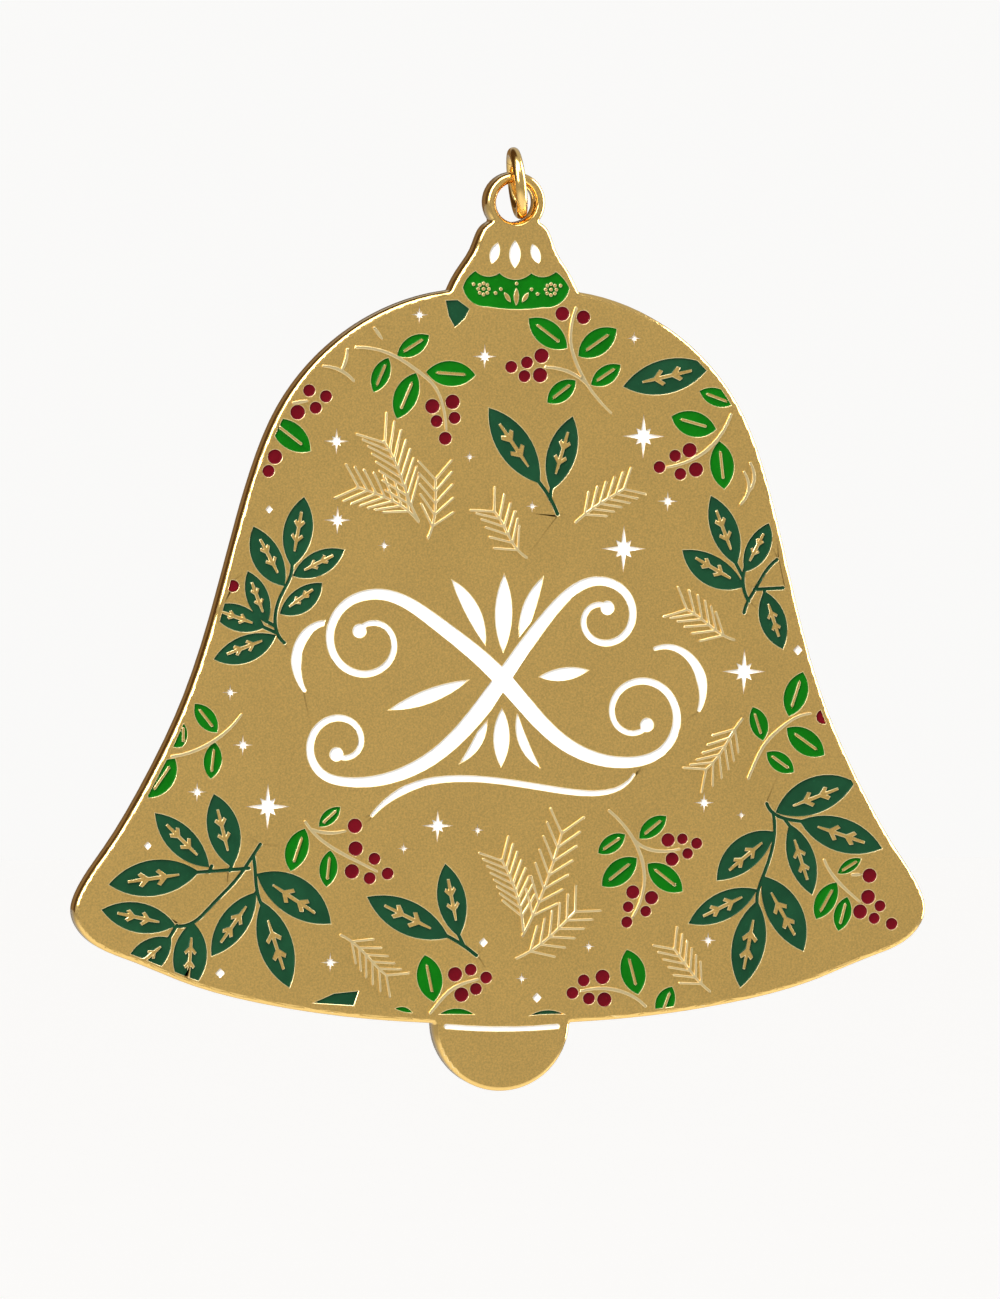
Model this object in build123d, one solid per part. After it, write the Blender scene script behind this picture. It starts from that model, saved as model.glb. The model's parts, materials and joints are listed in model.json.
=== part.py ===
"""A flat hanging ornament in the outline of a bell: one struck metal plate with enamel in its cells.

Millimetres, +Z up, X to the right as seen from the front, and the front face looks towards -Y. The origin
is where a hook bears, at the inner top of the jump ring. The plate is drawn lying face up, with x and y on
the sheet and z as its thickness, and is stood up when it is written.
"""

import os
from math import atan2, cos, degrees, hypot, pi, radians, sin, sqrt

from build123d import *

os.makedirs("parts", exist_ok=True)

# Plate
PLATE_T = 2.4
RIM_ROUND = 0.42
BACK_ROUND = 0.3
MOTIF_MARGIN = 0.6
SLIVER = 0.05
CELL_DEPTH = 0.4
FILL_BELOW = 0.1
LINE_PROUD = 0.14
LINE_ROOT = 0.08
LINE_W = 0.26
NEEDLE_W = 0.22
STEM_W = 0.34
FACE = PLATE_T / 2

# Hanging eyelet and jump ring
HOLE_Y = -3.83
HOLE_R = 1.75
EYELET_R = 2.65
WIRE_R = 0.5
RING_R = 2.67
RING_LEAN = 7.5
RING_TURN = 5.5
RING_GAP = 0.06

# Cap, flare and lip of the bell outline, right half, from the neck down
NECK_Y = -5.5
CAP_SIDE = [(2.75, -5.95), (3.65, -7.9), (4.9, -9.9), (5.75, -11.6)]
FLANK = [
    (9.2, -12.4), (14.1, -14.8), (18.1, -18.3), (20.6, -21.8), (22.85, -27.2), (24.8, -34.2),
    (26.65, -41.3), (29.0, -48.3), (32.35, -55.3), (35.3, -60.3), (37.7, -64.0),
]
LIP = [(38.3, -66.2), (37.2, -68.3), (33.3, -70.3), (28.3, -72.3), (20.7, -74.3), (13.4, -75.4)]
LIP_Y = -75.95
CLAPPER_Y = -75.85
CLAPPER_R = 6.12
CORNER_R = 0.2

# Berries come in two sizes
BERRY = 0.64
BERRY_SMALL = 0.53


def vec(point):
    return Vector(point[0], point[1])


def upward(face):
    return face if face.normal_at().Z > 0 else -face


def polygon(points):
    return upward(Face(Polyline(*points, close=True).wire()))


def leaf(base, tip, left, right):
    """Two arcs from base to tip that stand out left and right of the straight line between them."""
    start, end = vec(base), vec(tip)
    along = (end - start).normalized()
    side = Vector(-along.Y, along.X)
    middle = (start + end) / 2
    edges = [
        ThreePointArc(start, middle + side * left, end),
        ThreePointArc(end, middle - side * right, start),
    ]
    return upward(Face(Wire(edges)))


def stroke(start, end, width):
    """A straight line with round ends."""
    length = hypot(end[0] - start[0], end[1] - start[1])
    angle = degrees(atan2(end[1] - start[1], end[0] - start[0]))
    middle = ((start[0] + end[0]) / 2, (start[1] + end[1]) / 2)
    return Pos(*middle) * Rot(0, 0, angle) * SlotCenterToCenter(length, width)


def ribbon(points, widths):
    """A stroke along a smooth line through the points, its width spread evenly from the list."""
    path = Spline(*points) if len(points) > 2 else Line(*points)
    steps = 4 * (len(points) - 1)
    left, right = [], []
    for i in range(steps + 1):
        u = i / steps
        place = u * (len(widths) - 1)
        k = min(int(place), len(widths) - 2)
        half = (widths[k] + (widths[k + 1] - widths[k]) * (place - k)) / 2
        here, along = path @ u, path % u
        side = Vector(-along.Y, along.X)
        left.append(here + side * half)
        right.append(here - side * half)
    start_cap = (path @ 0) - (path % 0) * (widths[0] / 2)
    end_cap = (path @ 1) + (path % 1) * (widths[-1] / 2)
    edges = [
        Spline(*left),
        ThreePointArc(left[-1], end_cap, right[-1]),
        Spline(*reversed(right)),
        ThreePointArc(right[0], start_cap, left[0]),
    ]
    return upward(Face(Wire(edges)))


def star(centre, reach, arms=(1.0, 0.27, 0.5, 0.27)):
    """A star of four long and four short points; arms gives the radii round one quarter."""
    points = []
    for i in range(16):
        angle = i * pi / 8
        radius = reach * arms[i % 4]
        points.append((centre[0] + radius * cos(angle), centre[1] + radius * sin(angle) * 1.06))
    return polygon(points)


def rib(base, tip):
    """The raised midrib of a bright leaf, over its middle part."""
    start, end = vec(base), vec(tip)
    return stroke(tuple(start + (end - start) * 0.24), tuple(start + (end - start) * 0.76), LINE_W)


def branched_rib(base, tip):
    """The raised midrib of a dark leaf, with two pairs of barbs that slant towards the tip."""
    start, end = vec(base), vec(tip)
    length = (end - start).length
    along = (end - start).normalized()
    side = Vector(-along.Y, along.X)
    half = [
        (0.22, 0.09), (0.36, 0.15), (0.435, 0.085 * length + 0.05), (0.475, 0.085 * length - 0.13),
        (0.43, 0.17), (0.56, 0.16), (0.635, 0.075 * length + 0.05), (0.675, 0.075 * length - 0.13),
        (0.64, 0.15), (0.79, 0.12),
    ]
    outline = [start + along * (t * length) + side * s for t, s in half]
    outline += [start + along * (t * length) - side * s for t, s in reversed(half)]
    return polygon([(p.X, p.Y) for p in outline])


def pine(spine, pairs, needle, spread):
    """A pine sprig: a spine with evenly spaced pairs of straight needles and one at its tip."""
    path = Spline(*spine) if len(spine) > 2 else Line(*spine)
    lines = ribbon(spine, [LINE_W, NEEDLE_W])
    for i in range(pairs):
        u = 0.2 + 0.78 * i / (pairs - 1)
        root, along = path @ u, path % u
        heading = atan2(along.Y, along.X)
        for turn in (spread, -spread):
            angle = heading + radians(turn)
            end = (root.X + needle * cos(angle), root.Y + needle * sin(angle))
            lines += stroke((root.X, root.Y), end, NEEDLE_W)
    return lines


def bell_outline():
    """One closed line round eyelet, cap, bell and clapper bump, its inner corners rounded."""
    neck = (sqrt(EYELET_R**2 - (HOLE_Y - NECK_Y) ** 2), NECK_Y)
    root = (sqrt(CLAPPER_R**2 - (CLAPPER_Y - LIP_Y) ** 2), LIP_Y)
    foot = CAP_SIDE[-1]
    diagonal = CLAPPER_R * cos(pi / 4)
    right = Wire([
        ThreePointArc((0, HOLE_Y + EYELET_R), (EYELET_R, HOLE_Y), neck),
        Spline(neck, *CAP_SIDE),
        Spline(foot, *FLANK, *LIP, root),
        ThreePointArc(root, (diagonal, CLAPPER_Y - diagonal), (0, CLAPPER_Y - CLAPPER_R)),
    ])
    outline = upward(Face(Wire(mirror(right, about=Plane.YZ).edges() + right.edges())))
    inner = [neck, foot, root]
    corners = [
        corner for corner in outline.vertices()
        if any(hypot(abs(corner.X) - x, corner.Y - y) < 0.01 for x, y in inner)
    ]
    return fillet(corners, CORNER_R)


def inner_field(inset):
    """The body of the bell below its cap, drawn in from the edge by the inset."""
    points = [CAP_SIDE[-1], *FLANK, *LIP, (0, LIP_Y), (-LIP[-1][0], LIP[-1][1])]
    drawn_in = []
    for before, here, after in zip(points, points[1:], points[2:]):
        run = hypot(after[0] - before[0], after[1] - before[1])
        across = inset * (after[1] - before[1]) / run
        down = inset * (after[0] - before[0]) / run
        drawn_in.append((here[0] + across, here[1] - down))
    start = (0, CAP_SIDE[-1][1] - inset)
    half = upward(Face(Wire([Line(start, drawn_in[0]), Spline(*drawn_in), Line(drawn_in[-1], start)])))
    return half + upward(mirror(half, about=Plane.YZ).face())


OUTLINE = bell_outline()

# Dark leaves: base, tip, bulge left of that line, bulge right of it
DARK_LEAVES = {
    "dark_leaves_left": [
        ((-19.5, -35.8), (-18.5, -29.7), 1.3, 1.3), ((-20.1, -37.5), (-22.95, -32.3), 1.5, 1.05),
        ((-19.4, -36.6), (-14.85, -34.3), 1.0, 1.1), ((-20.5, -39.9), (-16.8, -37.2), 0.85, 1.25),
        ((-21.6, -40.8), (-23.4, -36.2), 0.95, 1.0), ((-21.8, -41.1), (-26.7, -39.4), 1.15, 1.1),
        ((-20.8, -41.8), (-26.3, -43.9), 1.35, 1.0),
    ],
    "dark_leaves_right": [
        ((20.45, -35.5), (18.0, -29.4), 1.15, 1.3), ((21.2, -37.4), (15.5, -34.2), 1.55, 1.05),
        ((21.15, -36.1), (23.3, -31.8), 0.9, 1.2), ((23.0, -37.8), (24.8, -42.9), 1.1, 1.25),
    ],
    "dark_leaves_top": [
        ((2.55, -28.4), (-2.15, -21.8), 1.45, 1.5), ((3.55, -29.0), (5.4, -22.5), 1.3, 1.3),
    ],
    "dark_leaf_upper_right": [((9.9, -19.85), (17.7, -18.0), 1.5, 1.5)],
    "dark_leaves_bottom": [
        ((-4.9, -68.35), (-12.3, -64.75), 1.5, 1.4), ((-4.0, -68.3), (-5.35, -61.85), 1.3, 1.25),
    ],
    "dark_leaves_lower_left": [
        ((-27.3, -62.5), (-35.3, -63.6), 1.55, 1.6), ((-29.3, -67.2), (-35.9, -65.8), 1.3, 1.3),
        ((-29.7, -68.3), (-33.7, -71.6), 1.4, 1.4), ((-27.8, -66.9), (-28.2, -73.0), 1.5, 1.5),
        ((-22.2, -64.3), (-26.1, -69.9), 1.2, 1.3), ((-21.7, -65.1), (-19.1, -72.7), 1.5, 1.5),
        ((-22.2, -62.7), (-15.5, -67.1), 1.9, 1.4), ((-26.4, -62.1), (-31.3, -57.35), 1.3, 1.15),
        ((-24.4, -62.1), (-26.1, -55.7), 1.35, 1.5),
    ],
    "dark_leaves_lower_right": [
        ((24.4, -57.4), (31.6, -54.7), 1.8, 1.4), ((26.6, -58.1), (34.2, -60.6), 1.45, 1.5),
        ((25.7, -58.4), (27.9, -64.7), 1.3, 1.15), ((24.4, -59.1), (19.2, -63.4), 1.15, 1.7),
        ((23.3, -63.0), (27.2, -69.7), 1.75, 1.35), ((22.9, -64.2), (16.7, -67.2), 1.2, 1.25),
        ((22.9, -65.2), (21.5, -72.9), 1.5, 1.5),
    ],
}

# Stems of the dark leaves, filled with the same enamel
STEMS = {
    "dark_leaves_left": [
        [(-20.05, -42.45), (-20.7, -41.6), (-20.9, -40.2), (-20.5, -38.5), (-19.6, -36.6), (-19.5, -35.4)],
        [(-20.75, -41.6), (-22.1, -41.0)], [(-20.9, -41.0), (-21.8, -40.5)],
    ],
    "dark_leaves_right": [
        [(21.2, -39.7), (21.6, -38.6), (22.2, -37.6), (23.0, -36.2), (24.1, -35.0)],
        [(22.1, -37.65), (24.7, -37.5)], [(21.6, -38.7), (21.1, -37.4), (21.2, -35.8)],
        [(21.0, -36.5), (20.3, -35.2)], [(23.0, -37.6), (23.05, -38.2)],
    ],
    "dark_leaves_top": [[(4.2, -31.1), (3.5, -29.7), (2.4, -28.2)], [(3.5, -29.8), (3.6, -28.7)]],
    "dark_leaves_bottom": [[(-2.4, -69.95), (-3.7, -69.0), (-5.1, -68.2)], [(-3.6, -69.0), (-4.1, -68.0)]],
    "dark_leaves_lower_left": [
        [(-21.9, -60.1), (-22.6, -61.2), (-24.0, -63.2), (-26.1, -65.4), (-27.7, -66.9), (-29.5, -67.25)],
        [(-22.5, -61.1), (-22.3, -62.7), (-22.1, -64.3), (-21.7, -65.4)], [(-22.9, -62.2), (-27.6, -62.55)],
        [(-29.2, -67.2), (-30.0, -68.5)], [(-24.4, -61.9), (-24.6, -62.4)], [(-26.2, -62.0), (-26.4, -62.5)],
        [(-22.1, -64.2), (-22.5, -64.7)],
    ],
    "dark_leaves_lower_right": [
        [(23.6, -56.6), (24.3, -57.5), (25.6, -58.0), (27.0, -58.2)], [(25.2, -57.9), (25.9, -58.8)],
        [(24.2, -57.4), (24.35, -59.2), (24.1, -60.9), (23.4, -63.0), (22.95, -64.4), (22.9, -65.6)],
    ],
}
STEM_CELL_W = 0.3

# Bright leaves: base, tip, bulge left, bulge right
BRIGHT_LEAVES = {
    "bright_leaves_top_left": [
        ((-10.4, -17.3), (-7.6, -15.5), 0.8, 0.85), ((-12.45, -20.5), (-11.2, -17.5), 0.8, 0.75),
        ((-7.8, -18.7), (-3.4, -18.95), 1.1, 1.1), ((-10.35, -22.8), (-8.7, -18.8), 1.1, 1.0),
    ],
    "bright_leaves_top_centre": [
        ((4.8, -16.5), (1.3, -13.95), 1.1, 1.05), ((5.8, -17.2), (9.2, -14.8), 1.1, 1.1),
        ((7.0, -19.7), (9.6, -17.95), 0.75, 0.85), ((3.1, -21.3), (5.6, -19.35), 0.85, 0.85),
    ],
    "bright_leaves_right_top": [
        ((16.8, -20.2), (19.9, -21.3), 0.8, 0.75), ((18.35, -23.55), (14.3, -22.45), 1.2, 1.0),
        ((19.2, -28.8), (18.65, -24.6), 1.05, 1.1),
    ],
    "bright_leaf_left_top": [((-18.0, -25.7), (-21.6, -23.0), 1.1, 1.15)],
    "bright_leaves_left_middle": [
        ((-25.9, -50.3), (-27.9, -47.8), 0.8, 0.8), ((-26.4, -54.35), (-26.1, -51.15), 0.8, 0.8),
        ((-28.9, -51.5), (-28.9, -49.5), 1.6, 0.35), ((-31.9, -56.0), (-29.6, -52.6), 1.1, 1.1),
    ],
    "bright_leaves_lower_left": [
        ((-16.7, -58.55), (-14.85, -56.85), 0.6, 0.6), ((-19.15, -62.45), (-17.95, -58.75), 1.1, 0.9),
        ((-15.95, -63.85), (-15.65, -60.65), 0.8, 0.8),
    ],
    "bright_leaves_centre_right": [
        ((12.1, -59.65), (14.5, -57.7), 0.8, 0.75), ((8.4, -60.95), (10.8, -59.3), 0.75, 0.75),
        ((8.8, -63.85), (11.9, -61.4), 1.05, 1.05), ((16.1, -64.35), (12.9, -61.9), 1.05, 1.0),
    ],
    "bright_leaves_right_middle": [
        ((25.45, -48.85), (26.65, -44.95), 1.05, 1.05), ((23.15, -51.0), (22.15, -48.05), 0.7, 0.9),
        ((28.75, -52.3), (25.3, -49.9), 1.1, 1.05), ((26.0, -53.8), (23.5, -52.05), 0.8, 0.8),
    ],
    "bright_leaves_lower_right": [
        ((30.2, -62.8), (32.3, -61.5), 0.55, 0.5), ((28.3, -66.85), (30.1, -63.6), 1.0, 0.85),
        ((30.35, -67.9), (31.1, -64.9), 0.8, 0.75),
    ],
    "bright_leaf_bottom": [((-6.15, -74.0), (-7.05, -69.9), 1.1, 1.15)],
    "bright_leaves_bottom_right": [
        ((12.25, -73.45), (11.15, -69.5), 1.05, 1.15), ((14.3, -75.6), (15.3, -72.8), 0.95, 0.75),
    ],
}

# Berries: centre and radius
BERRIES = {
    "berries_top_left": [
        (-5.4, -21.3, BERRY), (-7.2, -21.7, BERRY), (-5.2, -22.7, BERRY_SMALL), (-6.8, -23.0, BERRY_SMALL),
        (-6.0, -24.5, 0.57),
    ],
    "berries_top_centre": [
        (4.3, -13.5, 0.62), (6.2, -13.8, 0.6), (2.5, -17.2, BERRY), (1.2, -17.8, BERRY_SMALL),
        (-0.2, -18.2, BERRY_SMALL), (2.4, -18.9, BERRY), (1.0, -19.0, BERRY_SMALL),
    ],
    "berries_left_top": [
        (-18.2, -20.4, BERRY_SMALL), (-16.7, -20.9, BERRY_SMALL), (-17.6, -21.9, BERRY_SMALL),
        (-19.2, -22.3, BERRY), (-21.15, -26.2, BERRY), (-21.7, -27.45, BERRY_SMALL),
    ],
    "berries_right_top": [
        (16.0, -25.4, BERRY), (14.7, -25.9, BERRY_SMALL), (13.3, -26.9, BERRY_SMALL), (16.6, -27.1, BERRY),
        (15.2, -27.5, BERRY_SMALL),
    ],
    "berries_lower_left": [
        (-13.5, -58.5, BERRY), (-13.4, -60.5, BERRY), (-11.7, -61.4, BERRY_SMALL), (-13.7, -62.5, BERRY),
        (-10.5, -62.7, BERRY_SMALL), (-12.1, -63.1, BERRY_SMALL),
    ],
    "berries_centre_right": [
        (14.7, -59.8, 0.6), (16.0, -59.7, 0.48), (17.3, -60.1, 0.5), (16.5, -61.0, 0.48), (15.1, -61.5, 0.6),
        (11.6, -64.4, 0.6), (13.3, -64.9, 0.6), (11.2, -65.7, 0.48), (12.8, -66.1, 0.48), (11.1, -67.05, 0.5),
    ],
    "berries_lower_right": [
        (33.1, -63.0, BERRY), (33.0, -64.9, BERRY), (34.1, -65.7, 0.5), (32.3, -66.2, BERRY),
        (33.6, -66.8, 0.5), (35.2, -67.3, BERRY_SMALL),
    ],
    "berries_bottom_centre": [
        (-2.9, -71.2, BERRY_SMALL), (-4.3, -71.6, BERRY), (-1.5, -71.9, BERRY_SMALL),
        (-2.4, -72.9, BERRY_SMALL),
        (-3.7, -73.4, BERRY),
    ],
    "berries_bottom_right": [
        (9.0, -71.9, BERRY), (7.3, -72.2, BERRY_SMALL), (6.3, -73.3, BERRY_SMALL), (7.8, -73.8, BERRY_SMALL),
        (9.2, -73.9, BERRY),
    ],
    "berries_at_rim": [(28.6, -48.9, BERRY), (-24.7, -37.5, BERRY_SMALL)],
}

# White stars: centre and reach of the long points
STARS = {
    "stars_large": [
        (11.8, -24.2, 1.95), (10.2, -34.1, 2.05), (21.3, -44.9, 2.0), (-21.3, -56.8, 2.0),
        (-6.1, -58.5, 1.45),
    ],
    "stars_medium": [
        (-2.6, -17.3, 1.1), (-15.7, -24.8, 1.15), (14.1, -29.9, 0.95), (-15.5, -31.7, 1.25),
        (-23.6, -51.4, 0.95), (-27.6, -55.5, 0.9), (17.9, -56.5, 0.95), (-15.5, -70.5, 0.9),
    ],
    "stars_small": [
        (-8.5, -13.7, 0.8), (10.8, -15.6, 0.65), (-3.8, -26.1, 0.55), (1.9, -30.4, 0.6), (-11.3, -33.9, 0.62),
        (-24.8, -46.8, 0.75), (21.3, -57.6, 0.52), (-2.5, -58.9, 0.6), (-9.1, -60.5, 0.6),
        (18.5, -68.7, 0.78),
        (7.7, -69.2, 0.6), (1.7, -72.0, 0.6),
    ],
}
SPARKS = [
    (-21.6, -30.8, 0.34), (26.15, -43.0, 0.42), (-31.9, -60.2, 0.34), (-1.8, -68.8, 0.4),
    (-25.3, -71.4, 0.42),
    (3.1, -73.7, 0.42),
]

# Pine sprigs in raised line: spine from base to tip, pairs of needles, their length, their spread in degrees
PINE = [
    ([(-8.3, -31.7), (-9.4, -29.3), (-10.2, -27.2), (-11.5, -24.8)], 8, 2.6, 38),
    ([(-8.3, -31.8), (-10.2, -30.2), (-12.0, -29.4), (-13.8, -28.8)], 7, 2.3, 42),
    ([(-7.4, -33.2), (-6.95, -31.8), (-6.8, -30.0), (-6.85, -28.0)], 5, 2.2, 42),
    ([(1.45, -34.9), (0.45, -34.0), (-0.4, -32.6), (-1.6, -30.8)], 6, 2.1, 44),
    ([(5.8, -31.8), (7.0, -30.8), (8.5, -29.8), (10.2, -28.8)], 6, 1.95, 42),
    ([(20.3, -42.1), (19.0, -41.5), (17.5, -40.4), (15.9, -39.4)], 6, 2.15, 42),
    ([(21.2, -49.1), (20.3, -50.4), (19.2, -52.2), (17.9, -53.6)], 6, 2.05, 42),
    ([(1.75, -67.8), (1.4, -65.6), (0.6, -63.3), (-0.3, -61.5)], 8, 2.2, 42),
    ([(1.7, -68.2), (2.95, -65.6), (4.0, -62.8), (5.1, -59.0)], 7, 2.4, 40),
    ([(1.2, -70.2), (2.7, -69.4), (4.7, -67.8), (6.5, -66.0)], 6, 2.25, 44),
    ([(-14.6, -68.1), (-13.1, -69.1), (-11.9, -70.3), (-10.4, -71.7)], 6, 1.95, 42),
    ([(18.7, -73.2), (17.7, -72.3), (16.6, -71.0), (15.4, -69.4)], 6, 1.95, 42),
]

# Curved stems in raised line
RAISED_STEMS = [
    [(-14.1, -16.6), (-10.5, -17.4), (-8.6, -18.6), (-7.1, -19.9), (-6.3, -21.6), (-5.95, -23.7)],
    [(5.5, -13.0), (5.1, -14.6), (5.1, -16.2), (5.6, -17.8), (6.5, -19.5), (8.8, -22.15)],
    [(2.9, -18.2), (4.4, -18.4), (5.6, -18.9), (6.5, -19.6)],
    [(19.65, -22.25), (18.4, -24.5), (17.1, -25.7), (15.8, -26.4), (14.0, -26.9)],
    [(-29.9, -52.4), (-28.8, -52.2), (-27.2, -51.6), (-25.7, -50.7), (-23.8, -48.75)],
    [(21.85, -54.35), (22.5, -52.8), (23.5, -51.05), (24.7, -49.9), (26.0, -49.0), (27.4, -48.6)],
    [(-17.95, -58.15), (-16.4, -59.8), (-13.9, -61.3), (-11.5, -62.5)],
    [(-17.4, -58.8), (-16.0, -59.1), (-14.4, -58.95)],
    [(-6.5, -75.0), (-5.6, -73.9), (-4.5, -72.85), (-3.4, -72.35), (-2.3, -72.05)],
    [(12.9, -74.5), (11.8, -73.65), (10.2, -73.05), (8.6, -72.9), (7.1, -73.1)],
    [(9.3, -57.2), (11.2, -59.2), (12.3, -61.4), (12.6, -63.4), (12.3, -65.1), (11.6, -66.6)],
    [(11.3, -59.3), (12.1, -60.2), (13.6, -60.75), (15.7, -60.6)],
    [(28.9, -61.6), (29.7, -62.95), (30.9, -64.2), (32.2, -65.3)],
    [(20.7, -30.1), (21.35, -29.0), (20.95, -27.3)], [(21.4, -29.0), (21.75, -28.4), (21.5, -26.5)],
    [(-14.3, -19.5), (-15.4, -18.65), (-17.0, -18.25)], [(-15.4, -18.65), (-15.0, -17.7), (-14.9, -16.8)],
    [(-12.5, -14.9), (-11.85, -15.8)], [(-19.6, -21.5), (-18.4, -21.3)], [(31.5, -62.9), (32.2, -62.9)],
]


def spiral(centre, radius, start, turns, shrink=0.3):
    """Points on a line that winds inward from the radius; negative turns run clockwise."""
    count = round(abs(turns) * 8)
    points = []
    for i in range(count + 1):
        angle = radians(start + 360 * turns * i / count)
        r = radius * (1 - (1 - shrink) * i / count)
        points.append((centre[0] + r * cos(angle), centre[1] + r * sin(angle)))
    return points


# White scroll work across the middle: two ribbons that cross, each between two spirals
UPPER_LEFT = spiral((-12.5, -42.3), 4.2, 80, 1.15)
LOWER_RIGHT = spiral((11.7, -48.7), 4.3, 260, 1.15)
UPPER_RIGHT = spiral((8.4, -40.2), 3.3, 100, -1.1)
LOWER_LEFT = spiral((-14.8, -51.3), 3.4, 280, -1.1)
RIBBON_WIDTHS = [0.4, 0.55, 0.75, 1.15, 1.5, 1.15, 0.75, 0.55, 0.4]
CROSSING = (-0.5, -45.6)
RIBBONS = [
    UPPER_LEFT[::-1] + [(-6.6, -40.6), CROSSING, (5.4, -51.4)] + LOWER_RIGHT,
    UPPER_RIGHT[::-1] + [(3.6, -39.9), CROSSING, (-6.8, -52.6)] + LOWER_LEFT,
]
TERMINAL_R = 0.6
SCROLL_GAP = 0.35
SCROLL_LEAVES = [
    ((-0.5, -43.2), (-0.5, -36.4), 0.75, 0.75), ((-2.1, -42.6), (-5.2, -36.9), 0.25, 1.0),
    ((1.1, -42.6), (3.0, -36.6), 0.9, 0.2), ((-0.5, -48.2), (-0.5, -53.3), 0.7, 0.7),
    ((-1.9, -48.6), (-4.2, -53.0), 0.9, -0.1), ((0.9, -48.6), (3.0, -53.4), -0.1, 0.9),
    ((-3.6, -45.7), (-10.6, -48.3), 0.7, 0.5), ((2.8, -45.4), (7.2, -44.8), 0.5, 0.6),
]
SCROLL_CURLS = [
    ([(-18.2, -46.6), (-18.9, -44.8), (-18.7, -42.6), (-17.2, -40.9), (-15.9, -40.7)], [0.3, 0.9, 0.8, 0.3]),
    ([(13.2, -42.9), (15.4, -43.0), (17.0, -44.5), (17.6, -46.6), (17.3, -48.3)], [0.3, 0.6, 0.9, 0.3]),
]
UNDERLINE = [
    (-12.0, -57.6), (-10.4, -56.1), (-8.2, -54.95), (-4.5, -54.35), (0.0, -54.65), (4.5, -55.35),
    (8.0, -55.65),
    (10.3, -55.15), (11.5, -54.0),
]
UNDERLINE_WIDTHS = [0.25, 0.65, 0.55, 0.5, 0.5, 0.5, 0.45, 0.2]

# Cap: three white ovals over a green band with a scalloped top and gold flowers left standing in it
OVALS = [
    ((-2.12, -9.15), (-1.6, -7.35), 0.4), ((-0.05, -9.5), (-0.05, -7.15), 0.48), ((2.1, -9.1),
    (1.5, -7.45), 0.4),
]
BAND_TOP = [(-4.65, -11.3), (-3.55, -9.85), (-1.4, -10.0), (1.45, -10.0), (3.65, -9.85), (4.9, -11.3)]
BAND_DIPS = [(-4.25, -10.45), (-2.5, -10.32), (0.0, -10.58), (2.5, -10.32), (4.4, -10.5)]
BAND_BOTTOM = [(4.9, -11.3), (4.4, -12.3), (0.1, -13.15), (-4.2, -12.2), (-4.65, -11.3)]
FLOWERS = [(-2.8, -11.4), (3.25, -11.4)]
FLOWER_R = 0.48
BAND_DOTS = [
    (-3.7, -11.0), (-1.72, -11.75), (-1.25, -11.4), (0.15, -10.9), (1.5, -11.4), (2.05, -11.8), (4.1, -11.05),
]
BAND_PETALS = [
    ((0.15, -12.85), (0.15, -11.25), 0.24), ((-0.35, -12.55), (-0.95, -11.65), 0.2),
    ((0.65, -12.55), (1.25, -11.65), 0.2),
]
DOT_R = 0.16
CLAPPER_LINE = [(-5.0, -76.2), (0.0, -76.45), (5.0, -76.25)]
CLAPPER_LINE_W = 0.4

# Motifs that run off the edge are cut back to the margin; these are only partly there
CUT_DARK_LEAVES = [
    [(-6.15, -12.45), (-5.1, -12.4), (-4.05, -13.15), (-4.45, -14.0), (-5.3, -14.75), (-5.85, -13.8)],
    [(-16.9, -74.05), (-15.1, -73.25), (-12.95, -73.05), (-13.35, -74.3)],
]
SLIVERS = {
    "dark_sliver_bottom": [((2.6, -75.25), (5.5, -75.15), 0.38, -0.05)],
    "bright_slivers_bottom": [
        ((-5.6, -75.1), (-2.55, -75.15), 0.5, -0.02), ((-9.6, -74.6), (-8.1, -74.95), 0.3, 0.1),
    ],
}


def cap_band():
    edges = []
    for start, dip, end in zip(BAND_TOP, BAND_DIPS, BAND_TOP[1:]):
        edges.append(ThreePointArc(start, dip, end))
    edges.append(ThreePointArc(*BAND_BOTTOM[:2], (2.6, -12.95)))
    edges.append(ThreePointArc((2.6, -12.95), BAND_BOTTOM[2], (-2.4, -12.93)))
    edges.append(ThreePointArc((-2.4, -12.93), *BAND_BOTTOM[3:]))
    band = upward(Face(Wire(edges)))
    metal = []
    for centre in FLOWERS:
        metal.append(Pos(*centre) * Circle(DOT_R))
        for i in range(8):
            angle = i * pi / 4
            petal = (centre[0] + FLOWER_R * cos(angle), centre[1] + FLOWER_R * sin(angle))
            metal.append(Pos(*petal) * Circle(DOT_R))
    metal += [Pos(*dot) * Circle(DOT_R) for dot in BAND_DOTS]
    metal += [leaf(base, tip, half, half) for base, tip, half in BAND_PETALS]
    return band - metal


def dark_leaves(name):
    """Leaves and stems of one cluster as one cell, with the midribs left standing."""
    cell = Sketch() + [leaf(*entry) for entry in DARK_LEAVES[name]]
    for points in STEMS.get(name, []):
        cell += ribbon(points, [STEM_CELL_W, STEM_CELL_W])
    return cell - [branched_rib(base, tip) for base, tip, _, _ in DARK_LEAVES[name]]


def scroll_ribbons(margin=0.0):
    """The two crossing ribbons with a drop at each end, widened by the margin on every side."""
    widths = [width + 2 * margin for width in RIBBON_WIDTHS]
    cell = Sketch() + [ribbon(points, widths) for points in RIBBONS]
    ends = [UPPER_LEFT[-1], LOWER_RIGHT[-1], UPPER_RIGHT[-1], LOWER_LEFT[-1]]
    return cell + [Pos(*end) * Circle(TERMINAL_R + margin) for end in ends]


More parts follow.
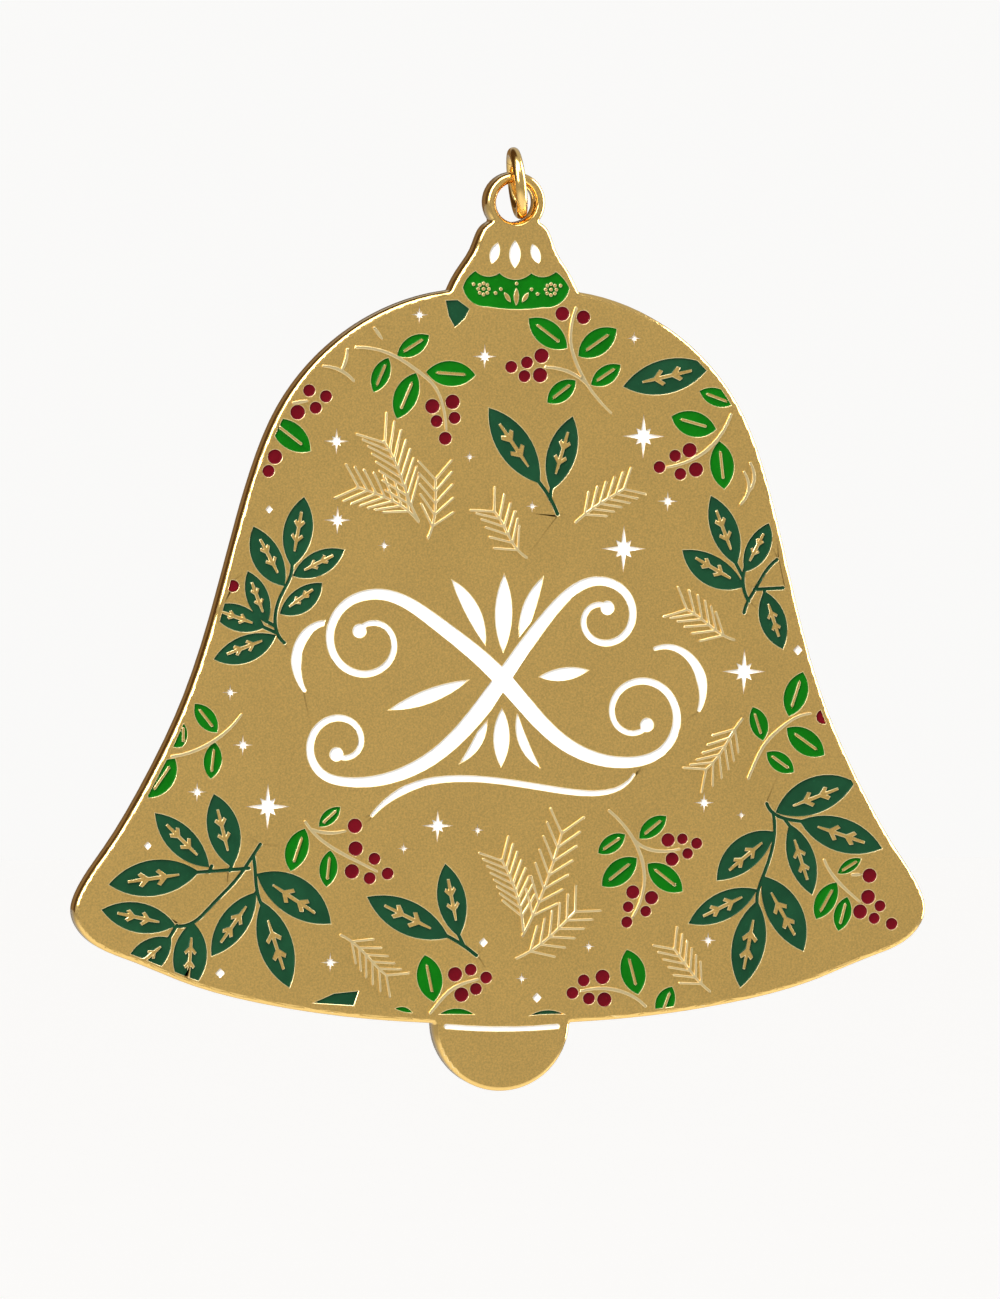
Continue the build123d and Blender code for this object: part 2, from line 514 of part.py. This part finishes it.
def all_cells():
    """Every filled cell as a flat sketch, by node name."""
    inside = inner_field(MOTIF_MARGIN)
    cells = {name: dark_leaves(name) & inside for name in DARK_LEAVES}
    cells["dark_leaves_cut"] = Sketch() + [polygon(points) for points in CUT_DARK_LEAVES]
    for name, entries in SLIVERS.items():
        cells[name] = Sketch() + [leaf(*entry) for entry in entries]
    for name, entries in BRIGHT_LEAVES.items():
        leaves = Sketch() + [leaf(*entry) for entry in entries]
        cells[name] = (leaves - [rib(base, tip) for base, tip, _, _ in entries]) & inside
    for name, entries in BERRIES.items():
        cells[name] = (Sketch() + [Pos(x, y) * Circle(r) for x, y, r in entries]) & inside
    for name, entries in STARS.items():
        cells[name] = Sketch() + [star((x, y), reach) for x, y, reach in entries]
    cells["stars_tiny"] = Sketch() + [star((x, y), r, (1.0, 0.8, 0.72, 0.8)) for x, y, r in SPARKS]
    cells["scroll_ribbons"] = scroll_ribbons()
    around = scroll_ribbons(SCROLL_GAP)
    cells["scroll_leaves"] = Sketch() + [leaf(*entry) for entry in SCROLL_LEAVES] - around
    cells["scroll_curls"] = Sketch() + [ribbon(points, widths) for points, widths in SCROLL_CURLS] - around
    cells["scroll_underline"] = Sketch() + ribbon(UNDERLINE, UNDERLINE_WIDTHS)
    cells["cap_ovals"] = Sketch() + [leaf(base, tip, half, half) for base, tip, half in OVALS]
    cells["cap_band"] = cap_band()
    cells["clapper_line"] = Sketch() + ribbon(CLAPPER_LINE, [CLAPPER_LINE_W, CLAPPER_LINE_W])
    return {name: Sketch() + cell.faces().filter_by(lambda f: f.area > SLIVER) for name, cell in cells.items()}


def raised_lines():
    """The raised line work, one flat sketch for each sprig and stem."""
    inside = inner_field(RIM_ROUND + 0.1)
    lines = [pine(*entry) & inside for entry in PINE]
    lines += [ribbon(points, [STEM_W * 0.8, STEM_W, STEM_W * 0.7]) & inside for points in RAISED_STEMS]
    return lines


def slab(sketch, bottom, height):
    return extrude(Pos(0, 0, bottom) * sketch, height, dir=(0, 0, 1))


def bell_plate(cells):
    plate = slab(OUTLINE - Pos(0, HOLE_Y) * Circle(HOLE_R), -FACE, PLATE_T)
    plate = fillet(plate.edges().group_by(Axis.Z)[-1], RIM_ROUND)
    plate = fillet(plate.edges().group_by(Axis.Z)[0], BACK_ROUND)
    pockets = [slab(cell, FACE - CELL_DEPTH, 2 * CELL_DEPTH) for cell in cells.values()]
    lines = [slab(line, FACE - LINE_ROOT, LINE_ROOT + LINE_PROUD) for line in raised_lines()]
    return plate - pockets + lines


def jump_ring():
    """Round wire bent to a ring, butt cut, leaning and a little turned in the hole as it lies."""
    gap = degrees(RING_GAP / RING_R)
    section = Plane.XZ * Pos(0, RING_R) * Circle(WIRE_R)
    wire = revolve(section, axis=Axis.X, revolution_arc=360 - gap)
    turned = Rot(0, 0, -RING_TURN) * Rot(-45, 0, 0) * wire
    return Rot(0, -RING_LEAN, 0) * Pos(0, 0, WIRE_R - RING_R) * turned


def write(name, shape):
    solids = shape.solids()
    export_step(solids[0] if len(solids) == 1 else Compound(children=list(solids)), f"parts/{name}.step")


def main():
    stand = Rot(90, 0, 0)
    cells = all_cells()
    write("jump_ring", jump_ring())
    for name, cell in cells.items():
        write(name, stand * slab(cell, FACE - CELL_DEPTH, CELL_DEPTH - FILL_BELOW))
    write("bell_plate", stand * bell_plate(cells))


if __name__ == "__main__":
    main()
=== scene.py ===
"""Looks for the flat bell ornament: plated metal, soft enamel, the jump ring and a pale studio."""

import json
from math import cos, pi, radians, sin

import bmesh
import bpy
from bpy.props import FloatProperty, FloatVectorProperty, PointerProperty
from mathutils import Euler, Matrix, Vector


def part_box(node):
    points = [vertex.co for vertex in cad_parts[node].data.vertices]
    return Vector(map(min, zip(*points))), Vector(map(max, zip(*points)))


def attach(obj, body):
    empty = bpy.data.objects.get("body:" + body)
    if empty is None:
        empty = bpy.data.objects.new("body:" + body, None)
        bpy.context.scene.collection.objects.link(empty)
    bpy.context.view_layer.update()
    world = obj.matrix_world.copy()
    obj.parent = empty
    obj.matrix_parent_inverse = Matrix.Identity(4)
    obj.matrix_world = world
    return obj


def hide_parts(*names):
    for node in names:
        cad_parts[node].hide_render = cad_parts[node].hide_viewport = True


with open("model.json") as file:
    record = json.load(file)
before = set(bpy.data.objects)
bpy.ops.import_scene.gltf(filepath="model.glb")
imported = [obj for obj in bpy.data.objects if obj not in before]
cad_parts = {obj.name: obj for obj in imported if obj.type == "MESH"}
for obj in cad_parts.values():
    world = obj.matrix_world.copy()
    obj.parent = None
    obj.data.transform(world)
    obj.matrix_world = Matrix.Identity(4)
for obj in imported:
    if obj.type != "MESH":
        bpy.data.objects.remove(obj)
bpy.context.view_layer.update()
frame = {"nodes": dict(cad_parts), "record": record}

bl_info = {
    "name": "Bell Ornament",
    "version": (1, 0, 0),
    "blender": (4, 5, 0),
    "location": "View3D > Sidebar > Bell Ornament",
    "description": "Finishes the flat enamelled bell ornament round its packed frame",
    "category": "Object",
}

MM = 0.001
BACKDROP = (0.955, 0.95, 0.94, 1)
# What the polished metal mirrors: the room, its dimmer front, the dark flags and the strip behind.
ROOM_LIGHT = (0.52, 0.52, 0.52, 1)
FRONT_LIGHT = (0.43, 0.43, 0.43, 1)
FLAG_LIGHT = (0.085, 0.045, 0.018, 1)
BACK_LIGHT = (0.26, 0.17, 0.08, 1)
PLATE_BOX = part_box("bell_plate")
RING_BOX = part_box("jump_ring")
FACE_Y = -PLATE_BOX[1][1]
FACE_MIDDLE = Vector((-0.77 * MM, FACE_Y, -43.0 * MM))

# The side wall's dome: its curvature, and how far from the middle of the wall it reaches.
DOME = 131.0
DOME_REACH = 0.8 * MM

# Edges that turn by more than this are softened, unless they belong to a star's cell.
SOFT_EDGE = radians(50)
STAR_GRID = 0.01 * MM
MERGE = 0.002 * MM

# How the plate's faces are told apart, by their normal's Y and by their distance from the front face.
FLAT = 0.98
CELL_EDGE_FLAT = 0.93
CELL_EDGE_DEPTH = 0.035 * MM
PROUD = 0.02 * MM

ENAMEL_TOP = 0.01 * MM
ENAMEL_FLAT = 0.995
WHITE_MENISCUS = 0.4
WIRE_SIDES = 28
WIRE_STEPS = 120
RING_SWING = radians(-45)

SENSOR = 36
FLOOR_SIZE = 8
FLOOR_MIRRORED = 0.2

# Name, place, width and height, power in watts; each one faces the middle of the plate.
SOFTBOXES = (
    ("Left box", (-0.5, -0.42, 0.3), (0.35, 0.6), 6.5),
    ("Right box", (0.6, 0.0, 0.1), (0.3, 0.8), 7.0),
    ("Top box", (-0.1, -0.3, 0.55), (0.6, 0.4), 4.0),
)


def colour(name, description, default):
    return FloatVectorProperty(
        name=name, description=description, subtype="COLOR", size=3, min=0, max=1, default=default
    )


def length(name, description, default):
    return FloatProperty(name=name, description=description, unit="LENGTH", precision=6, default=default)


class BellMetalSettings(bpy.types.PropertyGroup):
    gold: colour("Gold", "Plated gold of the plate's satin face", (0.81, 0.53, 0.16))
    polish: colour("Polished gold", "Gold of the rim, side wall and cell edges", (0.90, 0.60, 0.20))
    # Paler than the face gold: a painted highlight standing in for the light that the rounded raised lines
    # and cell edges catch.
    line: colour("Line gold with painted highlight", "Gold of the raised line work", (1.0, 0.78, 0.41))
    edge_round: length("Edge round", "Width of the softened edges of cells and lines", 0.05 * MM)
    face_roughness: FloatProperty(name="Face roughness", description="Satin of the face", default=0.36)
    rim_roughness: FloatProperty(name="Rim roughness", description="Polish of the rim", default=0.13)


class BellEnamelSettings(bpy.types.PropertyGroup):
    dark_green: colour("Dark green", "Enamel of the veined leaves", (0.007, 0.050, 0.020))
    bright_green: colour("Bright green", "Enamel of the small leaves", (0.001, 0.120, 0.0015))
    red: colour("Red", "Enamel of the berries", (0.118, 0.001, 0.006))
    white: colour("White", "Enamel of the stars and scrolls", (0.90, 0.90, 0.88))
    meniscus: length("Meniscus", "Width of the curved edge where enamel climbs its cell", 0.10 * MM)
    sag: length("Sag", "How far the enamel sinks inside its edge", 0.05 * MM)


class BellRingSettings(bpy.types.PropertyGroup):
    wire: length("Wire", "Diameter of the jump ring's wire", 1.0 * MM)
    gap: length("Gap", "Opening of the butt cut", 0.06 * MM)
    lean: FloatProperty(name="Lean", description="Sideways lean from its hanging point", unit="ROTATION",
                        default=radians(7.5))
    turn: FloatProperty(name="Turn", description="Turn about the upright", unit="ROTATION",
                        default=radians(5.5))


class BellStageSettings(bpy.types.PropertyGroup):
    azimuth: FloatProperty(name="Azimuth", description="Camera's side angle", unit="ROTATION",
                           default=radians(-12.5))
    elevation: FloatProperty(name="Elevation", description="Camera's height angle", unit="ROTATION",
                             default=radians(4))
    roll: FloatProperty(name="Roll", description="Camera's lean", unit="ROTATION", default=radians(1))
    distance: length("Distance", "From the camera to the plate", 0.9)
    view_height: length("View height", "Height of the view at the plate", 113.9 * MM)
    drop: length("Drop", "From the plate's foot to the floor", 0.35)
    floor_glow: FloatProperty(name="Floor glow", description="Light of the floor's own", default=0.75)


# ---------------------------------------------------------------- shader groups

def socket(group, name, kind, way, default=None):
    item = group.interface.new_socket(name=name, in_out=way, socket_type=kind)
    if default is not None:
        item.default_value = default
    return item


def add(tree, kind, **settings):
    node = tree.nodes.new(kind)
    for key, value in settings.items():
        setattr(node, key, value)
    return node


def noise(tree, coords, scale, detail=3.0, roughness=0.5):
    node = add(tree, "ShaderNodeTexNoise")
    node.inputs["Scale"].default_value = scale
    node.inputs["Detail"].default_value = detail
    node.inputs["Roughness"].default_value = roughness
    tree.links.new(coords, node.inputs["Vector"])
    return node.outputs["Fac"]


def spread(tree, value, low, high, to_low=0.0, to_high=1.0):
    node = add(tree, "ShaderNodeMapRange")
    for key, number in (("From Min", low), ("From Max", high), ("To Min", to_low), ("To Max", to_high)):
        node.inputs[key].default_value = number
    tree.links.new(value, node.inputs["Value"])
    return node.outputs["Result"]


def maths(tree, operation, first, second):
    node = add(tree, "ShaderNodeMath", operation=operation)
    for slot, value in ((0, first), (1, second)):
        if isinstance(value, (int, float)):
            node.inputs[slot].default_value = value
        else:
            tree.links.new(value, node.inputs[slot])
    return node.outputs[0]


def plating_group():
    """Plated metal: sandy satin grain, faint cloudiness and short hairline scuffs."""
    group = bpy.data.node_groups.get("Plating")
    if group:
        return group
    group = bpy.data.node_groups.new("Plating", "ShaderNodeTree")
    socket(group, "Grain", "NodeSocketFloat", "INPUT", 1.0)
    for name in ("Height", "Cloud", "Sand", "Scuff"):
        socket(group, name, "NodeSocketFloat", "OUTPUT")
    given, out = add(group, "NodeGroupInput"), add(group, "NodeGroupOutput")
    coords = add(group, "ShaderNodeTexCoord").outputs["Object"]
    sand = noise(group, coords, 6000, 2.0, 0.6)
    ripple = noise(group, coords, 1400, 3.0, 0.55)
    cloud = noise(group, coords, 120, 4.0, 0.6)
    height = maths(group, "ADD", maths(group, "MULTIPLY", sand, given.outputs["Grain"]), ripple)
    stretch = add(group, "ShaderNodeMapping")
    stretch.inputs["Rotation"].default_value = (0, radians(28), 0)
    stretch.inputs["Scale"].default_value = (0.06, 1, 1)
    group.links.new(coords, stretch.inputs["Vector"])
    scuff = spread(group, noise(group, stretch.outputs["Vector"], 5200, 2.0, 0.5), 0.72, 0.8)
    group.links.new(height, out.inputs["Height"])
    group.links.new(spread(group, cloud, 0.3, 0.7), out.inputs["Cloud"])
    group.links.new(spread(group, sand, 0.3, 0.7), out.inputs["Sand"])
    group.links.new(scuff, out.inputs["Scuff"])
    return group


def enamel_group():
    """Cured enamel: cloudy depth, fine specks and a slightly uneven skin."""
    group = bpy.data.node_groups.get("Cured enamel")
    if group:
        return group
    group = bpy.data.node_groups.new("Cured enamel", "ShaderNodeTree")
    for name in ("Depth", "Specks", "Height"):
        socket(group, name, "NodeSocketFloat", "OUTPUT")
    out = add(group, "NodeGroupOutput")
    coords = add(group, "ShaderNodeTexCoord").outputs["Object"]
    depth = spread(group, noise(group, coords, 420, 4.0, 0.6), 0.3, 0.7)
    specks = spread(group, noise(group, coords, 6200, 1.0, 0.4), 0.68, 0.78)
    skin = noise(group, coords, 900, 2.0, 0.5)
    group.links.new(depth, out.inputs["Depth"])
    group.links.new(specks, out.inputs["Specks"])
    group.links.new(skin, out.inputs["Height"])
    return group


def shade(rgb, factor):
    return tuple(min(1.0, c * factor) for c in rgb) + (1.0,)


def tint(tree, mask, first, second):
    node = add(tree, "ShaderNodeMix", data_type="RGBA")
    tree.links.new(mask, node.inputs["Factor"])
    for name, value in (("A", first), ("B", second)):
        slot = [s for s in node.inputs if s.name == name and s.type == "RGBA"][0]
        if isinstance(value, tuple):
            slot.default_value = value
        else:
            tree.links.new(value, slot)
    return [s for s in node.outputs if s.type == "RGBA"][0]


def new_material(name):
    material = bpy.data.materials.new(name)
    material.use_nodes = True
    tree = material.node_tree
    return material, tree, tree.nodes["Principled BSDF"]


def use_group(tree, group):
    node = add(tree, "ShaderNodeGroup")
    node.node_tree = group
    return node


def bump(tree, height, strength, distance):
    node = add(tree, "ShaderNodeBump")
    node.inputs["Strength"].default_value = strength
    node.inputs["Distance"].default_value = distance
    tree.links.new(height, node.inputs["Height"])
    return node.outputs["Normal"]


def domed_wall(tree):
    """The normal of a side wall that polishing has left slightly domed from front to back."""
    split = add(tree, "ShaderNodeSeparateXYZ")
    tree.links.new(add(tree, "ShaderNodeTexCoord").outputs["Object"], split.inputs[0])
    depth = maths(tree, "MINIMUM", maths(tree, "ABSOLUTE", split.outputs["Y"], 0), DOME_REACH)
    height = maths(tree, "MULTIPLY", maths(tree, "MULTIPLY", depth, depth), -DOME)
    return bump(tree, height, 1.0, 1.0)


def gold(name, rgb, roughness, grain, relief, domed=False):
    """Plated gold; grain sets how sandy its satin is, relief how deep."""
    material, tree, shader = new_material(name)
    plating = use_group(tree, plating_group())
    plating.inputs["Grain"].default_value = grain
    shader.inputs["Metallic"].default_value = 1.0
    pale, deep = shade(rgb, 1 + 0.14 * grain), shade(rgb, 1 - 0.15 * grain)
    body = tint(tree, plating.outputs["Sand"], deep, pale)
    tree.links.new(tint(tree, plating.outputs["Scuff"], body, shade(rgb, 1.05)), shader.inputs["Base Color"])
    cloudy = spread(tree, plating.outputs["Cloud"], 0, 1, roughness * 0.97, roughness * 1.04)
    tree.links.new(cloudy, shader.inputs["Roughness"])
    skin = bump(tree, plating.outputs["Height"], relief, 0.01 * MM)
    if domed:
        tree.links.new(domed_wall(tree), skin.node.inputs["Normal"])
    tree.links.new(skin, shader.inputs["Normal"])
    return material


def enamel(name, rgb, lift):
    """Soft enamel; lift is how much paler its cloudier parts are."""
    material, tree, shader = new_material(name)
    cured = use_group(tree, enamel_group())
    body = tint(tree, cured.outputs["Depth"], shade(rgb, 1 - lift), shade(rgb, 1 + lift))
    speckled = tint(tree, cured.outputs["Specks"], body, shade(rgb, 1 + 2.5 * lift))
    tree.links.new(speckled, shader.inputs["Base Color"])
    rough = spread(tree, cured.outputs["Depth"], 0, 1, 0.34, 0.44)
    tree.links.new(rough, shader.inputs["Roughness"])
    shader.inputs["Specular IOR Level"].default_value = 0.11
    shader.inputs["Coat Weight"].default_value = 0.03
    shader.inputs["Coat Roughness"].default_value = 0.08
    tree.links.new(bump(tree, cured.outputs["Height"], 0.25, 0.02 * MM), shader.inputs["Normal"])
    return material


# ---------------------------------------------------------------- modelling helpers

def deselect():
    if bpy.context.object and bpy.context.object.mode != "OBJECT":
        bpy.ops.object.mode_set(mode="OBJECT")
    bpy.ops.object.select_all(action="DESELECT")


def activate(piece):
    deselect()
    piece.select_set(True)
    bpy.context.view_layer.objects.active = piece


def merged_copy(node, name):
    """A new piece with the node's shape, its loose triangles merged."""
    source = frame["nodes"][node]
    piece = bpy.data.objects.new(name, source.data.copy())
    bpy.context.scene.collection.objects.link(piece)
    piece.data.materials.clear()
    activate(piece)
    bpy.ops.object.mode_set(mode="EDIT")
    bpy.ops.mesh.select_all(action="SELECT")
    bpy.ops.mesh.customdata_custom_splitnormals_clear()
    bpy.ops.mesh.remove_doubles(threshold=MERGE)
    bpy.ops.mesh.normals_make_consistent(inside=False)
    bpy.ops.object.mode_set(mode="OBJECT")
    return piece


def star_points():
    """Where the corners of the star cells are, as seen from the front, on the star grid."""
    nodes = [name for name in frame["nodes"] if name.startswith("stars_")]
    return {spot(vertex.co) for name in nodes for vertex in frame["nodes"][name].data.vertices}


def spot(place):
    return round(place.x / STAR_GRID), round(place.z / STAR_GRID)


def weigh_outer_edges(piece, sharp, left_crisp):
    """Gives full bevel weight to the edges that stand out, but none between two of the crisp points."""
    shape = bmesh.new()
    shape.from_mesh(piece.data)
    weight = shape.edges.layers.float.new("bevel_weight_edge")
    for edge in shape.edges:
        crisp = all(spot(vertex.co) in left_crisp for vertex in edge.verts)
        if not crisp and edge.is_manifold and edge.is_convex and edge.calc_face_angle() > sharp:
            edge[weight] = 1.0
    shape.to_mesh(piece.data)
    shape.free()


def apply_modifier(piece, kind, **settings):
    modifier = piece.modifiers.new(kind.title(), kind)
    for key, value in settings.items():
        setattr(modifier, key, value)
    activate(piece)
    bpy.ops.object.modifier_apply(modifier=modifier.name)


def smooth(piece, angle):
    activate(piece)
    bpy.ops.object.shade_smooth_by_angle(angle=radians(angle))


def settle(piece, node, body):
    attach(piece, body)
    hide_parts(node)


# ---------------------------------------------------------------- pieces

class BELL_OT_plate(bpy.types.Operator):
    """Make the struck plate with its rounded rim, cells and raised lines"""

    bl_idname = "bell.plate"
    bl_label = "Bell Plate"

    def execute(self, context):
        settings = context.scene.bell_metal
        piece = merged_copy("bell_plate", "struck_plate")
        weigh_outer_edges(piece, SOFT_EDGE, star_points())
        apply_modifier(piece, "BEVEL", width=settings.edge_round, segments=2, limit_method="WEIGHT",
                       use_clamp_overlap=False)
        smooth(piece, 35)
        data = piece.data
        data.materials.append(gold("Satin gold", settings.gold, settings.face_roughness, 1.0, 0.55))
        polished = gold("Polished gold", settings.polish, settings.rim_roughness, 0.15, 0.12, domed=True)
        data.materials.append(polished)
        # The same plating as the face, made paler as a painted highlight on the raised lines and cell edges.
        data.materials.append(gold("Line gold with painted highlight", settings.line, 0.34, 0.4, 0.3))
        # Raised line tops and the bevels where the cells meet the face take the paler line gold as a painted
        # highlight; flat faces take satin gold and the rest polished gold.
        for face in data.polygons:
            flat = abs(face.normal.y) > FLAT
            proud = face.center.y < FACE_Y - PROUD
            cell_edge = abs(face.normal.y) < CELL_EDGE_FLAT and face.center.y < FACE_Y + CELL_EDGE_DEPTH
            face.material_index = 2 if proud or cell_edge else 0 if flat else 1
            face.use_smooth = not flat
        settle(piece, "bell_plate", "bell")
        return {"FINISHED"}


class BELL_OT_enamel(bpy.types.Operator):
    """Fill the cells with soft enamel that climbs a little at its edges"""

    bl_idname = "bell.enamel"
    bl_label = "Enamel"

    def execute(self, context):
        settings = context.scene.bell_enamel
        finishes = {
            "dark_green_enamel": enamel("Dark green enamel", settings.dark_green, 0.16),
            "bright_green_enamel": enamel("Bright green enamel", settings.bright_green, 0.14),
            "red_enamel": enamel("Red enamel", settings.red, 0.18),
            "white_enamel": enamel("White enamel", settings.white, 0.02),
        }
        for part in frame["record"]["subparts"]:
            slot = part["material_slot"]
            if slot in finishes:
                self.fill(part["node"], slot, finishes[slot], settings)
        return {"FINISHED"}

    def fill(self, node, slot, finish, settings):
        piece = merged_copy(node, node + "_enamel")
        top = min(vertex.co.y for vertex in piece.data.vertices)
        for face in piece.data.polygons:
            face.select = face.normal.y < -FLAT and face.center.y < top + ENAMEL_TOP
        bpy.ops.object.mode_set(mode="EDIT")
        bpy.context.tool_settings.mesh_select_mode = (False, False, True)
        width = settings.meniscus * (WHITE_MENISCUS if slot == "white_enamel" else 1.0)
        for share in (0.35, 0.65):
            bpy.ops.mesh.inset(
                thickness=width * share, depth=-settings.sag * (1 - share), use_even_offset=False
            )
        bpy.ops.object.mode_set(mode="OBJECT")
        smooth(piece, 60)
        for face in piece.data.polygons:
            face.use_smooth = abs(face.normal.y) < ENAMEL_FLAT
        piece.data.materials.append(finish)
        settle(piece, node, "bell")


class BELL_OT_ring(bpy.types.Operator):
    """Bend round wire to the jump ring, with its butt cut at the back"""

    bl_idname = "bell.ring"
    bl_label = "Jump Ring"

    def execute(self, context):
        settings = context.scene.bell_ring
        low, high = Vector(RING_BOX[0]), Vector(RING_BOX[1])
        wire = settings.wire / 2
        centre = (low + high) / 2
        radius = ((high.y - low.y) / 2 - wire) / cos(settings.turn)
        bend = 2 * pi - settings.gap / radius
        deselect()
        bpy.ops.mesh.primitive_circle_add(vertices=WIRE_SIDES, radius=wire, location=(0, 0, radius),
                                          rotation=(pi / 2, 0, 0), fill_type="NGON")
        piece = context.object
        piece.name = "jump_ring_wire"
        activate(piece)
        bpy.ops.object.transform_apply(location=True, rotation=True, scale=True)
        bpy.ops.object.mode_set(mode="EDIT")
        bpy.ops.mesh.select_all(action="SELECT")
        bpy.ops.mesh.spin(steps=WIRE_STEPS, angle=bend, center=(0, 0, 0), axis=(1, 0, 0))
        bpy.ops.mesh.select_all(action="SELECT")
        bpy.ops.mesh.normals_make_consistent(inside=False)
        bpy.ops.object.mode_set(mode="OBJECT")
        leant = Matrix.Rotation(-settings.lean, 4, "Y") @ Matrix.Rotation(-settings.turn, 4, "Z")
        piece.data.transform(Matrix.Translation(centre) @ leant @ Matrix.Rotation(RING_SWING, 4, "X"))
        smooth(piece, 40)
        metal = context.scene.bell_metal
        piece.data.materials.append(gold("Ring gold", metal.polish, 0.16, 0.15, 0.15))
        settle(piece, "jump_ring", "ring")
        return {"FINISHED"}


# ---------------------------------------------------------------- stage

def softbox(name, place, size, power):
    data = bpy.data.lights.new(name, "AREA")
    data.shape = "RECTANGLE"
    data.size, data.size_y = size
    data.energy = power
    lamp = bpy.data.objects.new(name, data)
    lamp.location = place
    lamp.rotation_euler = (FACE_MIDDLE - Vector(place)).to_track_quat("-Z", "Y").to_euler()
    bpy.context.scene.collection.objects.link(lamp)


class BELL_OT_stage(bpy.types.Operator):
    """Set the pale floor, the soft boxes and the camera"""

    bl_idname = "bell.stage"
    bl_label = "Stage"

    def execute(self, context):
        settings = context.scene.bell_stage
        self.floor(PLATE_BOX[0][2] - settings.drop, settings)
        self.surroundings(context.scene)
        for box in SOFTBOXES:
            softbox(*box)
        self.camera(context.scene, settings)
        return {"FINISHED"}

    def floor(self, height, settings):
        deselect()
        bpy.ops.mesh.primitive_plane_add(size=FLOOR_SIZE, location=(0, 0, height))
        floor = bpy.context.object
        floor.name = "floor"
        material, tree, shader = new_material("Pale floor")
        grain = noise(tree, add(tree, "ShaderNodeTexCoord").outputs["Object"], 30, 2.0)
        shades = tint(tree, grain, (0.55, 0.55, 0.545, 1), (0.565, 0.565, 0.56, 1))
        tree.links.new(shades, shader.inputs["Base Color"])
        shader.inputs["Roughness"].default_value = 0.9
        shader.inputs["Emission Color"].default_value = BACKDROP
        seen = add(tree, "ShaderNodeLightPath").outputs["Is Camera Ray"]
        glow = spread(tree, seen, 0, 1, settings.floor_glow * FLOOR_MIRRORED, settings.floor_glow)
        tree.links.new(glow, shader.inputs["Emission Strength"])
        floor.data.materials.append(material)

    def surroundings(self, scene):
        """Pale light all round, with dark flags at the back and left and a brown strip behind"""
        world = bpy.data.worlds.new("Studio")
        world.use_nodes = True
        tree = world.node_tree
        tree.nodes.clear()
        direction = add(tree, "ShaderNodeTexCoord").outputs["Generated"]
        side = self.patch(tree, direction, (-0.9, 0, 0.35), 0.1, 0.3)
        behind = self.patch(tree, direction, (0, 1, 0), 0.02, 0.14)
        far = self.patch(tree, direction, (0, 1, 0), 0.9, 0.84)
        left_flag = maths(tree, "MULTIPLY", side, maths(tree, "MULTIPLY", behind, far))
        flag = maths(tree, "MAXIMUM", left_flag, self.patch(tree, direction, (0.27, 0.962, 0), 0.972, 0.99))
        back = self.patch(tree, direction, (-0.2, 0.98, 0.05), 0.94, 0.965)
        front = self.patch(tree, direction, (0.15, -0.98, -0.05), 0.55, 0.95)
        room = tint(tree, back, tint(tree, front, ROOM_LIGHT, FRONT_LIGHT), BACK_LIGHT)
        seen, lit = add(tree, "ShaderNodeBackground"), add(tree, "ShaderNodeBackground")
        seen.inputs["Color"].default_value = BACKDROP
        tree.links.new(tint(tree, flag, room, FLAG_LIGHT), lit.inputs["Color"])
        mix, out = add(tree, "ShaderNodeMixShader"), add(tree, "ShaderNodeOutputWorld")
        tree.links.new(add(tree, "ShaderNodeLightPath").outputs["Is Camera Ray"], mix.inputs[0])
        tree.links.new(lit.outputs[0], mix.inputs[1])
        tree.links.new(seen.outputs[0], mix.inputs[2])
        tree.links.new(mix.outputs[0], out.inputs["Surface"])
        scene.world = world
        scene.view_settings.view_transform = "Standard"

    def patch(self, tree, direction, middle, edge, core):
        """A mask that is 1 near one direction of the room and 0 away from it"""
        dot = add(tree, "ShaderNodeVectorMath", operation="DOT_PRODUCT")
        tree.links.new(direction, dot.inputs[0])
        dot.inputs[1].default_value = Vector(middle).normalized()
        return spread(tree, dot.outputs["Value"], edge, core)

    def camera(self, scene, settings):
        data = bpy.data.cameras.new("Camera")
        data.sensor_fit = "VERTICAL"
        data.sensor_height = SENSOR
        data.lens = SENSOR * settings.distance / settings.view_height
        data.clip_start = 0.01
        around, above = settings.azimuth, settings.elevation
        away = Vector((sin(around) * cos(above), -cos(around) * cos(above), sin(above)))
        camera = bpy.data.objects.new("Camera", data)
        camera.location = FACE_MIDDLE + away * settings.distance
        facing = (-away).to_track_quat("-Z", "Y").to_matrix()
        camera.rotation_euler = (facing @ Euler((0, 0, settings.roll)).to_matrix()).to_euler()
        scene.collection.objects.link(camera)
        scene.camera = camera


class BELL_PT_panel(bpy.types.Panel):
    bl_label = "Bell Ornament"
    bl_idname = "BELL_PT_panel"
    bl_space_type = "VIEW_3D"
    bl_region_type = "UI"
    bl_category = "Bell Ornament"

    def draw(self, context):
        for operator in (BELL_OT_plate, BELL_OT_enamel, BELL_OT_ring, BELL_OT_stage):
            self.layout.operator(operator.bl_idname)
        for group in SETTINGS:
            box = self.layout.box()
            for key in SETTINGS[group].__annotations__:
                box.prop(getattr(context.scene, group), key)


SETTINGS = {
    "bell_metal": BellMetalSettings,
    "bell_enamel": BellEnamelSettings,
    "bell_ring": BellRingSettings,
    "bell_stage": BellStageSettings,
}
CLASSES = [*SETTINGS.values(), BELL_OT_plate, BELL_OT_enamel, BELL_OT_ring, BELL_OT_stage, BELL_PT_panel]


def register():
    for item in CLASSES:
        bpy.utils.register_class(item)
    for name, kind in SETTINGS.items():
        setattr(bpy.types.Scene, name, PointerProperty(type=kind))


def unregister():
    for name in SETTINGS:
        delattr(bpy.types.Scene, name)
    for item in reversed(CLASSES):
        bpy.utils.unregister_class(item)


def main():
    register()
    bpy.ops.bell.stage()
    bpy.ops.bell.plate()
    bpy.ops.bell.enamel()
    bpy.ops.bell.ring()


if __name__ == "__main__":
    main()
